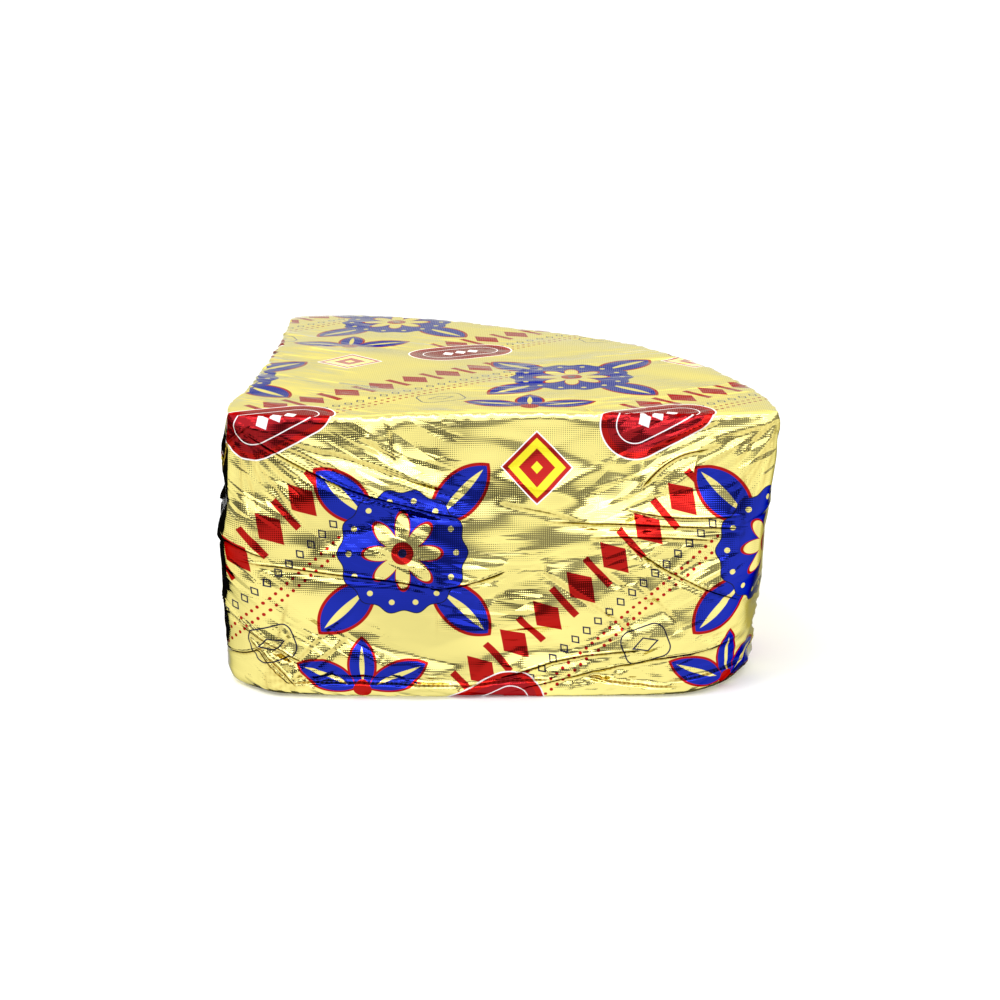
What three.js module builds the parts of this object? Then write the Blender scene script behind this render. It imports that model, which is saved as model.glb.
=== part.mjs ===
// A wedge of gorgonzola, an eighth of a wheel, shut in one sheet of embossed gold foil.
//
// Millimetres, +Z up. The wedge is a quarter of a round that stands on its flat side. Its tip is at
// the front left: one cut side runs from it along X and faces -Y, the other runs along Y and faces
// -X, and the rind side is the arc between their far ends. Inside this file a place is counted from
// the sharp tip, at floor level. The finished pack is moved so that its origin is below its middle.
import * as THREE from 'three';

// ---- Driving dimensions ----
const RADIUS = 150; // from the tip to the rind side
const HEIGHT = 81;
const QUARTER_TURN = Math.PI / 2;
const MIDDLE = [70.88, 73.55]; // the middle of the finished pack's box, from the sharp tip

// The upright corners are crisp at the top and slack near the floor, where the soft cheese sinks.
const FLARE_HEIGHT = 75; // below this height a corner grows rounder
const TIP_CORNER = { top: 3.5, base: 13 };
const FRONT_CORNER = { top: 4, base: 26 }; // the front side meets the rind side
const BACK_CORNER = { top: 5, base: 26 }; // the rind side meets the left side

// The edge round the top is crisp. The one round the base is drawn in further at the corners.
const TOP_EDGE = 1.2;
const BASE_EDGE = { height: 4, inset: 2.6, cornerInset: 2.4 };

// Each side swells out where the cheese sags: how far, where along the side it is deepest, how fast
// it dies away before and beyond that place, and the share of it that is left at the base.
const FRONT_SWELL = { depth: 3.4, at: 66, before: 90, beyond: 80, base: 0.75 };
const LEFT_SWELL = { depth: 7.2, at: 34, before: 25, beyond: 70, base: 0.7 };
const RIM_SWELL = { depth: 1.8, at: 120, before: 60, beyond: 70, base: 0.6 };
const RIM_LEAN = { depth: 2.4, spread: 48 }; // the rind side leans in at its foot by the front
const SWELL_HEIGHT = 38; // where the swelling is deepest

// The left side's top edge stands out by the tip and runs in a little behind it.
const LEFT_EDGE = { out: 2.2, at: 16, spread: 12, hollow: 1.2, from: 35 };

// The top lies in long slack waves, shorter towards the rind side, and the wall is slack too.
const TOP_WAVE = { depth: 0.6, length: 105, shift: 52 };
const BACK_WAVE = { depth: 0.5, lengthX: 107, lengthY: 182, gather: 4 };
const RIM_WAVE = { depth: 1.3, length: 110, crest: 120, from: 78 };
const SLACK = { depth: 0.5, length: 31, climb: 119 };

// Grid: columns along each stretch of the outline, and rows up the wall and across the top.
const COLUMNS = { front: 56, corner: 6, rim: 40, left: 28 };
const ROWS = { baseEdge: 3, wall: 25, topEdge: 2, top: 4 };

// A fold in the foil is a ridge along a bowed line. Places are [along the side, height]. It falls
// away over "reach" on its upper side and over "drop" on its lower side.
const fold = (from, to, bow, rise, reach, drop = reach) => ({ from, to, bow, rise, reach, drop });

const FRONT_FOLDS = [
  fold([1, 79], [67, 52], -4.3, 1.3, 6, 2), // the big pleat down from the tip's top corner
  fold([20, 74], [67, 57], 0.8, 0.8, 3), // its second layer
  fold([72, 57], [103, 50], 0.5, 0.7, 3, 2), // where it dies away
  fold([1, 40], [58, 33], 0.6, 1.1, 3.5, 2), // a level fold across the lower left
  fold([54, 33], [76, 38], -1, 0.9, 3, 2), // and its turn upwards
  fold([86, 51], [143, 49], 1, 0.9, 2.5, 2), // three level creases at the right
  fold([98, 47], [134, 46], 1, 0.7, 2, 2),
  fold([108, 55], [141, 53], -1, 0.6, 2, 2),
  fold([108, 46], [142, 27], -1.2, 1.4, 5, 2), // a lapped fold down to the right corner
  fold([126, 34], [139, 28.5], 0.5, 0.7, 2),
  fold([111, 36], [124, 22], 0, 0.5, 2), // a short straight crease
  fold([72, 5.5], [114, 14.5], 2, 1.0, 3, 2), // long folds that rise from the base
  fold([75, 1.7], [144, 15], 1.9, 0.9, 3, 2),
  fold([112, 60], [131, 72], 3, 0.9, 2.5), // dents under the top edge
  fold([118, 74], [134, 80], 0, 0.8, 2.5),
  fold([36, 76], [47, 69], 0, 0.7, 2),
  fold([44, 80], [46, 67], 0, 0.7, 2),
  fold([0, 20], [18, 11], 0.8, 1.3, 3.5, 2), // the tucked corner by the tip's foot
  fold([5, 14.5], [15, 4], 0, 0.9, 2),
  fold([12, 4.5], [64, 2], 0.5, 0.7, 2), // the turned-up hem
  fold([57, 78], [56, 16], 0, 0.3, 6), // a faint upright crease at mid-side
  fold([3.5, 76], [1.5, 26], 0, 0.6, 2), // upright creases by the corners
  fold([140.5, 67], [140, 38], 0, 0.8, 2),
];

const LEFT_FOLDS = [
  fold([6, 78], [52, 40], -5, 1.2, 5, 2), // the pleat on the tip's other side
  fold([2, 44], [60, 30], 2, 1.0, 4, 2),
  fold([56, 62], [132, 70], 3, 0.9, 3, 2),
  fold([70, 36], [146, 24], -2, 1.1, 4, 2),
  fold([30, 16], [88, 9], 1, 0.9, 3, 2),
  fold([96, 12], [145, 46], 4, 1.3, 5, 2), // the lap from the far lower corner
];

// The foil's two ends close over the rind side: a level lap with a slanted lap at each end, and a
// row of short pleats where the flat sheet is gathered round the arc at the top and at the base.
const RIM_LENGTH = RADIUS * QUARTER_TURN;
const RIM_LAPS = [
  fold([26, 46], [214, 41], 2, 1.4, 7, 2),
  fold([4, 78], [40, 45], 3, 1.4, 6, 2),
  fold([232, 77], [198, 43], -3, 1.4, 6, 2),
  fold([6, 6], [44, 42], -3, 1.1, 4, 2),
  fold([230, 6], [192, 40], 3, 1.1, 4, 2),
];
const PLEATS = { count: 9, margin: 22, depth: 18, lean: 7, rise: 1.2, reach: 2.6 };
const PLEAT_CHANGE = { place: 0.3, depth: 0.4 }; // shares by which they differ

// A steady rule for uneven sizes: a value from -1 to 1 for each whole number.
const GOLDEN_SHARE = (Math.sqrt(5) - 1) / 2;
const uneven = (index) => 2 * ((index * GOLDEN_SHARE) % 1) - 1;

// One row of pleats that run from an edge of the rind side towards its middle.
function pleatRow(edge, towards, shift, seed) {
  const step = (RIM_LENGTH - 2 * PLEATS.margin) / PLEATS.count;
  return Array.from({ length: PLEATS.count }, (_, i) => {
    const along = PLEATS.margin + (i + shift + uneven(seed + i) * PLEAT_CHANGE.place) * step;
    const lean = uneven(2 * (seed + i)) * PLEATS.lean;
    const depth = PLEATS.depth * (1 + uneven(3 * (seed + i)) * PLEAT_CHANGE.depth);
    return fold([along, edge], [along + lean, edge + towards * depth], 0, PLEATS.rise, PLEATS.reach);
  });
}

const RIM_FOLDS = [...RIM_LAPS, ...pleatRow(HEIGHT, -1, 0.3, 1), ...pleatRow(0, 1, 0.8, 14)];

// ---- Shape functions ----
const clamp01 = (value) => Math.min(1, Math.max(0, value));
const ease = (value) => THREE.MathUtils.smoothstep(value, 0, 1);
const bell = (distance, spread) => Math.exp(-((distance / spread) ** 2));

const FOLD_END = 0.18; // the share of a fold's length over which each end dies away

// How far one fold lifts the foil at a place on its side.
function foldRise(line, along, z) {
  const run = line.to[0] - line.from[0];
  const climb = line.to[1] - line.from[1];
  const length = Math.hypot(run, climb);
  const part = ((along - line.from[0]) * run + (z - line.from[1]) * climb) / length ** 2;
  if (part <= 0 || part >= 1) {
    return 0;
  }
  const straight = ((z - line.from[1]) * run - (along - line.from[0]) * climb) / length;
  const across = (straight - line.bow * 4 * part * (1 - part)) * Math.sign(run || 1);
  const reach = across > 0 ? line.reach : line.drop;
  const ends = ease(part / FOLD_END) * ease((1 - part) / FOLD_END);
  return line.rise * ends * Math.exp(-Math.abs(across) / reach);
}

const foldsRise = (folds, along, z) => folds.reduce((sum, line) => sum + foldRise(line, along, z), 0);

const cornerRadius = (corner, z) =>
  corner.top + (corner.base - corner.top) * ease((FLARE_HEIGHT - z) / FLARE_HEIGHT);

// A side's swelling rises from nothing at the top edge, and keeps a share of itself at the base.
function swell(side, along, z) {
  const level = bell(along - side.at, along < side.at ? side.before : side.beyond);
  const upright = z > SWELL_HEIGHT
    ? ease((HEIGHT - z) / (HEIGHT - SWELL_HEIGHT))
    : side.base + (1 - side.base) * ease(z / SWELL_HEIGHT);
  return side.depth * level * upright;
}

const wave = (distance, length) => Math.sin(distance / length * 2 * Math.PI);

const slackWave = (along, z) =>
  SLACK.depth * wave(along + z * SLACK.length / SLACK.climb, SLACK.length) * wave(z, 2 * HEIGHT);

function leftEdgeShift(y) {
  const out = LEFT_EDGE.out * bell(y - LEFT_EDGE.at, LEFT_EDGE.spread);
  const behind = clamp01((y - LEFT_EDGE.from) / (RADIUS - LEFT_EDGE.from));
  return out - LEFT_EDGE.hollow * wave(behind, 2);
}

// The rind side is even by the front corner, and runs in and out beyond it.
function rimWave(along) {
  const start = RIM_WAVE.crest - RIM_WAVE.length / 4;
  const growth = ease((along - RIM_WAVE.from) / (RIM_WAVE.crest - RIM_WAVE.from));
  return RIM_WAVE.depth * growth * wave(along - start, RIM_WAVE.length);
}

// How far each side stands out from the plain quarter round.
const frontRelief = (along, z) =>
  swell(FRONT_SWELL, along, z) + slackWave(along, z) + foldsRise(FRONT_FOLDS, along, z);
const leftRelief = (along, z) =>
  leftEdgeShift(along) + swell(LEFT_SWELL, along, z) + slackWave(-along, z)
  + foldsRise(LEFT_FOLDS, along, z);
const rimLean = (along, z) => -RIM_LEAN.depth * bell(along, RIM_LEAN.spread) * (1 - z / HEIGHT);
const rimRelief = (along, z) =>
  rimWave(along) + rimLean(along, z) + swell(RIM_SWELL, along, z) + slackWave(along, z)
  + foldsRise(RIM_FOLDS, along, z);

// The height of the slack top over a place in plan.
function topHeight(x, y) {
  const frontWave = wave(x - TOP_WAVE.shift, TOP_WAVE.length);
  const fromFront = wave(TOP_WAVE.length / 2 - y, 2 * TOP_WAVE.length);
  const backWave = wave(x + y * BACK_WAVE.lengthX / BACK_WAVE.lengthY, BACK_WAVE.lengthX);
  const towardsRim = (Math.hypot(x, y) / RADIUS) ** BACK_WAVE.gather;
  return HEIGHT + TOP_WAVE.depth * frontWave * fromFront + BACK_WAVE.depth * backWave * towardsRim;
}

// ---- The outline at one height ----
// Each column has its place, its outward direction, and its share of each side's relief.
function corner(centre, radius, start, end, before, after) {
  return Array.from({ length: COLUMNS.corner }, (_, i) => {
    const part = i / COLUMNS.corner;
    const angle = start + (end - start) * part;
    const out = [Math.cos(angle), Math.sin(angle)];
    const share = Math.sin(part * QUARTER_TURN) ** 2;
    const place = [centre[0] + radius * out[0], centre[1] + radius * out[1]];
    return { place, out, shares: { [before]: 1 - share, [after]: share } };
  });
}

function stretch(count, side, at) {
  return Array.from({ length: count }, (_, i) => ({ ...at(i / count), shares: { [side]: 1 } }));
}

function outline(z) {
  const tip = cornerRadius(TIP_CORNER, z);
  const front = cornerRadius(FRONT_CORNER, z);
  const back = cornerRadius(BACK_CORNER, z);
  const frontEnd = Math.sqrt((RADIUS - front) ** 2 - front ** 2);
  const backEnd = Math.sqrt((RADIUS - back) ** 2 - back ** 2);
  const rimStart = Math.asin(front / (RADIUS - front));
  const rimEnd = QUARTER_TURN - Math.asin(back / (RADIUS - back));
  const frontAt = (part) => ({ place: [tip + (frontEnd - tip) * part, 0], out: [0, -1] });
  const leftAt = (part) => ({ place: [0, backEnd + (tip - backEnd) * part], out: [-1, 0] });
  const rimAt = (part) => {
    const angle = rimStart + (rimEnd - rimStart) * part;
    const out = [Math.cos(angle), Math.sin(angle)];
    return { place: [RADIUS * out[0], RADIUS * out[1]], out };
  };
  return [
    ...stretch(COLUMNS.front, 'front', frontAt),
    ...corner([frontEnd, front], front, -QUARTER_TURN, rimStart, 'front', 'rim'),
    ...stretch(COLUMNS.rim, 'rim', rimAt),
    ...corner([back, backEnd], back, rimEnd, Math.PI, 'rim', 'left'),
    ...stretch(COLUMNS.left, 'left', leftAt),
    ...corner([tip, tip], tip, Math.PI, Math.PI + QUARTER_TURN, 'left', 'front'),
  ];
}

// ---- The wall, the top and the base ----
const RELIEF = { front: frontRelief, left: leftRelief, rim: rimRelief };
const ALONG = {
  front: ([x]) => x,
  left: ([, y]) => y,
  rim: ([x, y]) => RADIUS * Math.atan2(y, x),
};

// How near a column is to an upright corner, from 0 on a side to 1 at the middle of the corner.
const CORNER_REACH = 26;

function cornerShare([x, y]) {
  const tip = bell(Math.hypot(x, y), CORNER_REACH);
  const front = bell(Math.hypot(x - RADIUS, y), CORNER_REACH);
  const back = bell(Math.hypot(x, y - RADIUS), CORNER_REACH);
  return clamp01(tip + front + back);
}

// One ring of the wall: its columns at a height, drawn in by the rounding of the top or base edge.
function wallRing(z, topInset, baseTurn) {
  return outline(z).map(({ place, out, shares }) => {
    const relief = Object.entries(shares).reduce(
      (sum, [side, share]) => sum + share * RELIEF[side](ALONG[side](place), z), 0);
    const baseInset = BASE_EDGE.inset + BASE_EDGE.cornerInset * cornerShare(place);
    const stand = relief - topInset - baseInset * baseTurn;
    const x = place[0] + out[0] * stand;
    const y = place[1] + out[1] * stand;
    return [x, y, z * topHeight(x, y) / HEIGHT];
  });
}

function wallRings() {
  const rings = [];
  for (let i = 0; i < ROWS.baseEdge; i += 1) {
    const angle = i / ROWS.baseEdge * QUARTER_TURN;
    rings.push(wallRing(BASE_EDGE.height * (1 - Math.cos(angle)), 0, 1 - Math.sin(angle)));
  }
  const wallHeight = HEIGHT - TOP_EDGE - BASE_EDGE.height;
  for (let i = 0; i < ROWS.wall; i += 1) {
    rings.push(wallRing(BASE_EDGE.height + i / ROWS.wall * wallHeight, 0, 0));
  }
  for (let i = 0; i <= ROWS.topEdge; i += 1) {
    const angle = i / ROWS.topEdge * QUARTER_TURN;
    rings.push(wallRing(HEIGHT - TOP_EDGE * (1 - Math.sin(angle)), TOP_EDGE * (1 - Math.cos(angle)), 0));
  }
  return rings;
}

const HUB_SHARE = 0.42; // of the radius, along each cut side
const HUB = [RADIUS * HUB_SHARE, RADIUS * HUB_SHARE]; // where the top's and base's triangles meet

// Rings of the top, each the wall's last ring shrunk towards the hub.
function topRings(edge) {
  return Array.from({ length: ROWS.top - 1 }, (_, i) => {
    const scale = 1 - (i + 1) / ROWS.top;
    return edge.map(([edgeX, edgeY]) => {
      const x = HUB[0] + (edgeX - HUB[0]) * scale;
      const y = HUB[1] + (edgeY - HUB[1]) * scale;
      return [x, y, topHeight(x, y)];
    });
  });
}

function packGeometry() {
  const wall = wallRings();
  const rings = [...wall, ...topRings(wall[wall.length - 1])];
  const columns = rings[0].length;
  const places = rings.flat();
  const baseHub = places.push([HUB[0], HUB[1], 0]) - 1;
  const topHub = places.push([HUB[0], HUB[1], topHeight(HUB[0], HUB[1])]) - 1;
  const faces = [];
  for (let column = 0; column < columns; column += 1) {
    const next = (column + 1) % columns;
    faces.push(baseHub, next, column);
    for (let row = 0; row < rings.length - 1; row += 1) {
      const low = row * columns;
      const high = low + columns;
      faces.push(low + column, low + next, high + next);
      faces.push(low + column, high + next, high + column);
    }
    const last = (rings.length - 1) * columns;
    faces.push(last + column, last + next, topHub);
  }
  const geometry = new THREE.BufferGeometry();
  geometry.setAttribute('position', new THREE.Float32BufferAttribute(places.flat(), 3));
  geometry.setIndex(faces);
  geometry.translate(-MIDDLE[0], -MIDDLE[1], 0);
  geometry.computeVertexNormals();
  return geometry;
}

const goldFoil = new THREE.MeshStandardMaterial({
  name: 'gold foil', color: 0xf3e98c, roughness: 0.28, metalness: 0.9,
});

const foilPack = new THREE.Mesh(packGeometry(), goldFoil);
foilPack.name = 'foil_pack';

const wedge = new THREE.Group();
wedge.add(foilPack);

export default wedge;
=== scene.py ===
import math

import bpy
import numpy as np
from bpy.props import FloatProperty, FloatVectorProperty, IntProperty, PointerProperty
from bpy.types import Operator, Panel, PropertyGroup
from mathutils import Matrix, Vector


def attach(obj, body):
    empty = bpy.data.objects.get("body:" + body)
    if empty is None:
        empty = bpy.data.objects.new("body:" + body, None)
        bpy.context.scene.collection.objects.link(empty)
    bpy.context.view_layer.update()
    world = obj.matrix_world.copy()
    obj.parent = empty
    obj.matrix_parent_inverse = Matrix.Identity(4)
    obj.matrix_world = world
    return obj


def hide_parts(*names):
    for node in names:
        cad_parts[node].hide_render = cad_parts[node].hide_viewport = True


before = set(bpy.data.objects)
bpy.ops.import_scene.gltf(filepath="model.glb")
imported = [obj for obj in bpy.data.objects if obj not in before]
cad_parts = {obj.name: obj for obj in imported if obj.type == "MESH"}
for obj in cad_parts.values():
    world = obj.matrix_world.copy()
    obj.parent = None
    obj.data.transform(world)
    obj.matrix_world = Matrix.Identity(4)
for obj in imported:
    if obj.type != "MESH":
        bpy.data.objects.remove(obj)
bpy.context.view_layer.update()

bl_info = {
    "name": "Foil-wrapped cheese wedge",
    "version": (1, 0, 0),
    "blender": (4, 5, 0),
    "location": "3D View > Sidebar > Cheese Wedge",
    "description": "Builds a cheese wedge shut in printed gold foil, and a studio stage for it",
    "category": "Add Mesh",
}

CAD_NODE = "foil_pack"
PIECE = "foil_wrap"
MM = 0.001

# --- Form of the pack, in millimetres, counted from the sharp tip at floor level ---

QUARTER_TURN = math.pi / 2
RADIUS, HEIGHT = 150, 81
MIDDLE = (70.88, 73.55)  # the frame's origin

FLARE_HEIGHT = 75  # below this height an upright corner grows rounder
TIP_CORNER = (3.5, 13)  # radius at the top and at the base
FRONT_CORNER = (4, 26)
BACK_CORNER = (5, 26)
CORNER_REACH = 26  # how far a corner's own form spreads
CORNER_CALM = 0.6  # how much less the foil is crumpled there
CORNER_SHARPER = 0.7  # how much less the top edge is rounded there
CORNER_FACET = 0.76  # the share of each corner that is pressed flat
TIP_FLATNESS, RIM_FLATNESS = 0.45, 0.25  # and how flat it is, at the tip and by the rind side

TOP_EDGE = 1.9
EDGE_CHANGE = 0.22
EDGE_WAVES = ((37, 0), (13.7, 5), (6.1, 0), (3.3, 0))  # each with its length and shift
BASE_EDGE_HEIGHT = 4
BASE_EDGE_INSET = 2.6
BASE_CORNER_INSET = 2.4

# depth, deepest place along the side, spread before and beyond it, and share left at the base
FRONT_SWELL = (3.4, 66, 90, 80, 0.75)
LEFT_SWELL = (7.2, 34, 25, 70, 0.7)
RIM_SWELL = (1.8, 120, 60, 70, 0.6)
SWELL_HEIGHT = 38
RIM_LEAN = (2.4, 48)  # depth and spread
LEFT_EDGE = (2.2, 16, 12, 1.2, 35)  # out, at, spread, hollow, from

TOP_WAVE = (0.6, 105, 52)  # depth, length and shift
BACK_WAVE = (0.5, 107, 182, 4)  # depth, length along x and y, and how it gathers at the rind side
RIM_WAVE = (1.3, 110, 120, 78)  # depth, length, crest and start
SLACK = (0.5, 31, 119)  # depth, length and climb
FRONT_SLACK = 0.6  # the share of it that the front side has

SHEET_MAP = "sheet"
# the mesh attribute that holds how much painted shade each place gets in the folds
FOLD_SHADE = "fold_shade"
FOLD_END = 0.18  # the share of a fold's length over which each end dies away


def fold(start, end, bow, rise, reach, drop=None):
    """A ridge along a bowed line, from [along, height] to [along, height] on its side."""
    return start, end, bow, rise, reach, drop or reach


FRONT_FOLDS = (
    fold((1, 79), (67, 52), -4.3, 2.0, 6, 0.45),  # the big pleat from the tip's top corner
    fold((20, 74), (67, 57), 0.8, 0.8, 3, 0.6),  # its second layer
    fold((72, 57), (103, 50), 0.5, 0.7, 3, 0.6),  # where it dies away
    fold((1, 40), (58, 33), 0.6, 1.1, 3.5, 0.6),  # a level fold across the lower left
    fold((54, 33), (76, 38), -1, 0.9, 3, 0.6),  # and its turn upwards
    fold((86, 51), (143, 49), 1, 1.3, 2.5, 0.5),  # three level creases at the right
    fold((98, 47), (134, 46), 1, 0.9, 2, 0.5),
    fold((108, 55), (141, 53), -1, 0.9, 2, 0.5),
    fold((108, 46), (142, 27), -1.2, 1.4, 5, 0.5),  # a lapped fold down to the right corner
    fold((126, 34), (139, 28.5), 0.5, 0.7, 1.2, 0.5),
    fold((111, 36), (124, 22), 0, 0.4, 0.8, 0.5),  # a short straight crease
    fold((84, 39), (113, 18), 0.6, 0.6, 2.5, 0.8),  # slanted ones beside it
    fold((97, 41), (117, 28), 0, 0.5, 2.5, 0.8),
    fold((72, 5.5), (114, 14.5), 2, 1.0, 3, 0.6),  # long folds that rise from the base
    fold((75, 1.7), (144, 15), 1.9, 0.9, 3, 0.6),
    fold((112, 60), (131, 72), 3, 0.9, 2.0, 0.8),  # dents under the top edge
    fold((118, 74), (134, 80), 0, 0.8, 2.0, 0.8),
    fold((36, 76), (47, 69), 0, 0.7, 1.8, 1.0),
    fold((44, 80), (46, 67), 0, 0.6, 1.8, 1.0),
    fold((0, 20), (18, 11), 0.8, 1.6, 3.5, 0.5),  # the tucked corner by the tip's foot
    fold((5, 14.5), (15, 4), 0, 1.3, 1.6, 0.5),
    fold((12, 4.2), (64, 3.4), 0.8, 1.5, 0.5, 2.6),  # the turned-up hem
    fold((57, 78), (56, 16), 0, 0.3, 6),  # a faint upright crease at mid-side
    fold((3.5, 76), (1.5, 26), 0, 0.6, 1.2),  # upright creases by the corners
    fold((140.5, 67), (140, 38), 0, 0.8, 1.2),
)
LEFT_FOLDS = (
    fold((6, 78), (52, 40), -5, 1.2, 5, 0.6),  # the pleat on the tip's other side
    fold((2, 44), (60, 30), 2, 1.0, 4, 0.6),
    fold((56, 62), (132, 70), 3, 0.9, 3, 0.6),
    fold((70, 36), (146, 24), -2, 1.1, 4, 0.6),
    fold((30, 16), (88, 9), 1, 0.9, 3, 0.6),
    fold((96, 12), (145, 46), 4, 1.3, 5, 0.6),  # the lap from the far lower corner
)
RIM_LAPS = (
    fold((26, 46), (214, 41), 2, 1.4, 7, 0.6),
    fold((4, 78), (40, 45), 3, 1.4, 6, 0.6),
    fold((232, 77), (198, 43), -3, 1.4, 6, 0.6),
    fold((6, 6), (44, 42), -3, 1.1, 4, 0.6),
    fold((230, 6), (192, 40), 3, 1.1, 4, 0.6),
)
RIM_LENGTH = RADIUS * QUARTER_TURN
PLEAT_COUNT, PLEAT_MARGIN, PLEAT_DEPTH, PLEAT_LEAN = 9, 22, 18, 7
PLEAT_RISE, PLEAT_REACH = 1.2, 2.6
PLEAT_PLACE_CHANGE, PLEAT_DEPTH_CHANGE = 0.3, 0.4
FAN_LENGTH, FAN_RISE, FAN_REACH, FAN_DROP = 26, 0.6, 1.4, 0.6
FAN_PLACE_CHANGE, FAN_LENGTH_CHANGE = 0.3, 0.55
GOLDEN_SHARE = (math.sqrt(5) - 1) / 2

# seed, number, box of the sheet, bend, length and slant
CREASES = (
    (12, 210, (-150, 3, 385, 80), 0.24, 13, 0.5),
    (15, 190, (-150, 0, 385, 12), 0.42, 4, 1.2),
)
CREASE_ROUND = 0.45
CREASE_LENGTHS, CREASE_BENDS = (0.4, 1.6), (0.3, 1.0)  # least and greatest shares of what is given
CREASE_SIGNS = (0.4, 0.6)  # the shares that dip and rise
CREASE_BOW = 0.08
CREASE_LONG, CREASE_WIDE, CREASE_PEAK = 1.5, 0.6, 0.35  # shares of a crease's length
SLACK_WAVES, SLACK_LENGTHS, SLACK_HEIGHTS = 12, (22, 90), (9, 34)
WALL_SLACK = (11, 0.42)  # seed and depth
BASE_SHARE, TOP_SHARE, EDGE_REACH = 0.5, 0.35, 4  # how crumpled the wall's edges are, and how far
SEAM_REACH = 12  # how far from the seam the sheet is fully crumpled

TOP_BOX = (0, 0, RADIUS, RADIUS)
TOP_SLACK, TOP_SQUEEZE = (41, 0.14), 0.7  # the waves are drawn out from front to back
TOP_CREASES = (42, 36, TOP_BOX, 0.016, 13, 0.8)
TOP_PUCKERS, PUCKER_REACH = (43, 160, TOP_BOX, 0.14, 4, 3.1), 8
TOP_OUTER, TOP_REACH = 1, 5  # how far outside and inside its edge the top's relief grows

GROOVE_PLACE, GROOVE_WIDTH, GROOVE_SHARE = 1.3, 0.8, 0.6  # beside a fold, as a share of its rise
# the painted shade beside a fold: how far from its line it lies, and its width, in millimetres
SHADE_PLACE, SHADE_WIDTH = 0.6, 0.5
FOLD_ROUND = 0.2
LIP_WIDTH = 0.2
LIP_LEAN, LIP_FADE = 0.8, 8
LIP_LEAST = 0.9  # folds that rise less than this have no sharp lip
RISE = 3  # the place of a fold's rise among its values


def uneven(index):
    """A steady value from -1 to 1 for each whole number."""
    return 2 * (index * GOLDEN_SHARE % 1) - 1


def pleat_row(edge, towards, shift, seed):
    """Pleats that run from an edge of the rind side towards its middle, unevenly spaced."""
    step = (RIM_LENGTH - 2 * PLEAT_MARGIN) / PLEAT_COUNT
    row = []
    for i in range(PLEAT_COUNT):
        along = PLEAT_MARGIN + (i + shift + uneven(seed + i) * PLEAT_PLACE_CHANGE) * step
        lean = uneven(2 * (seed + i)) * PLEAT_LEAN
        depth = PLEAT_DEPTH * (1 + uneven(3 * (seed + i)) * PLEAT_DEPTH_CHANGE)
        end = (along + lean, edge + towards * depth)
        row.append(fold((along, edge), end, 0, PLEAT_RISE, PLEAT_REACH, 1.0))
    return tuple(row)


def fan(corner, start, end, count, seed):
    """Fine creases that spread from a corner, between two directions in degrees."""
    creases = []
    for i in range(count):
        place = (i + 0.5 + uneven(seed + i) * FAN_PLACE_CHANGE) / count
        angle = math.radians(start + (end - start) * place)
        length = FAN_LENGTH * (1 + uneven(2 * (seed + i)) * FAN_LENGTH_CHANGE)
        stop = (corner[0] + length * math.cos(angle), corner[1] + length * math.sin(angle))
        creases.append(fold(corner, stop, uneven(seed + 3 * i), FAN_RISE, FAN_REACH, FAN_DROP))
    return tuple(creases)


RIM_FOLDS = RIM_LAPS + pleat_row(HEIGHT, -1, 0.3, 1) + pleat_row(0, 1, 0.8, 14)
SHEET_FOLDS = (  # round the corners, in lengths along the sheet from the tip
    fold((-14, 27), (19, 10.5), 1.5, 2.0, 3.5, 0.5),  # the tuck by the tip's foot
    fold((-9, 11), (9, 16), -2, 1.3, 2.0, 0.5),
    fold((3, 17), (17, 3), 1, 1.4, 1.6, 0.5),
    fold((-12, 60), (6, 79), 1, 0.9, 2.4, 0.5),
    fold((-10, 46), (10, 41), 1, 1.0, 2.4, 0.5),
    fold((60, 2.6), (88, 5.2), 0.8, 0.9, 0.5, 2.2),  # the hem runs on, broken
    fold((96, 6.4), (124, 2.8), -0.8, 1.0, 0.5, 2.2),
    fold((120, 4.4), (146, 5.6), 0.6, 1.0, 0.5, 2.2),
    fold((150, 6), (192, 17), 2, 0.9, 2.5, 0.5),
    fold((140, 29), (176, 20), -2, 0.8, 3, 0.5),
    fold((138, 50), (160, 56), 1, 0.8, 2, 0.5),
    *fan((0, 80), -15, -75, 9, 3),
    *fan((150, 80), 190, 255, 8, 14),
    *fan((150, 80), -20, -70, 5, 25),
    *fan((6, 0), 20, 80, 6, 36),
    *fan((156, 0), 110, 165, 7, 47),
    *fan((160, 0), 20, 70, 5, 58),
)


# --- Shape functions on whole arrays ---

def ease(value):
    """0 below 0, 1 above 1, and 3t^2 - 2t^3 between."""
    t = np.clip(value, 0, 1)
    return t * t * (3 - 2 * t)


def growing(share, value):
    """A share of 1 where the value is 0, eased to all of it where the value is 1."""
    return share + (1 - share) * ease(value)


def bell(distance, spread):
    """exp(-(distance / spread)^2)."""
    return np.exp(-((distance / spread) ** 2))


def wave(distance, length):
    """A sine with the given wavelength."""
    return np.sin(distance / length * 2 * math.pi)


def beside_fold(start, end, bow, along, z):
    """The distance above a fold's bowed line, and a share that dies away at its two ends."""
    run, climb = end[0] - start[0], end[1] - start[1]
    length = math.hypot(run, climb)
    part = ((along - start[0]) * run + (z - start[1]) * climb) / length**2
    straight = ((z - start[1]) * run - (along - start[0]) * climb) / length
    across = (straight - bow * 4 * part * (1 - part)) * math.copysign(1, run)
    return across, ease(part / FOLD_END) * ease((1 - part) / FOLD_END)


def folds_rise(folds, along, z):
    """Adds up the ridges: each falls away as exp(-distance / reach) and dies away at its ends.

    A narrow groove runs beside the lip of each, on the side where it falls away sooner.
    """
    total = np.zeros(np.broadcast(along, z).shape)
    for start, end, bow, rise, reach, drop in folds:
        across, ends = beside_fold(start, end, bow, along, z)
        ridge = np.exp(-np.sqrt(across**2 + FOLD_ROUND**2) / np.where(across > 0, reach, drop))
        steep = np.sign(reach - drop)
        groove = bell(across + steep * GROOVE_PLACE, GROOVE_WIDTH) * GROOVE_SHARE * abs(steep)
        total += rise * ends * (ridge - groove)
    return total


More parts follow.
